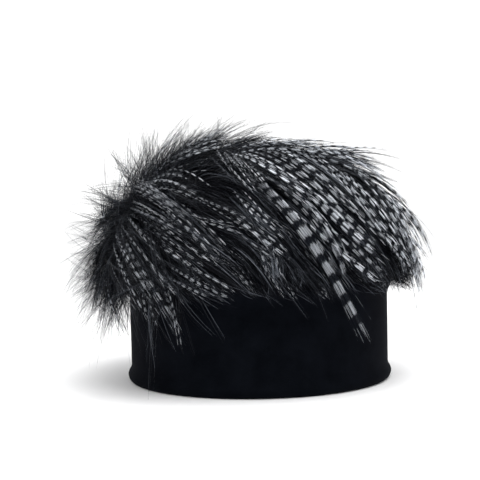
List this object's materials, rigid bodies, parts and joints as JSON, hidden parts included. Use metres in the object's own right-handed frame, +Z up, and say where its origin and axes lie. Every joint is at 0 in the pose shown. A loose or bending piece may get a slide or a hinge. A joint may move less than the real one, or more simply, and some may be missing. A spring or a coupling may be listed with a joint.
{
  "type": "faux fur beanie",
  "caption": "Brimless hat: a smooth doubled stretch band under a domed crown of long banded faux fur, combed forward from a whorl at the back.",
  "frame": {"origin": "on the ground under the middle of the head opening", "axes": "+X to the front of the hat, +Z up, +Y to the far side"},
  "size_m": [0.2499, 0.1976, 0.1797],
  "materials": {
    "velour": "matt black velour",
    "fur_backing": "matt black knit",
    "fur": "long black pile with silver-white bars"
  },
  "bodies": {
    "root": {"band": "velour", "crown": "fur_backing", "fur_pile": "fur"}
  },
  "joints": []
}
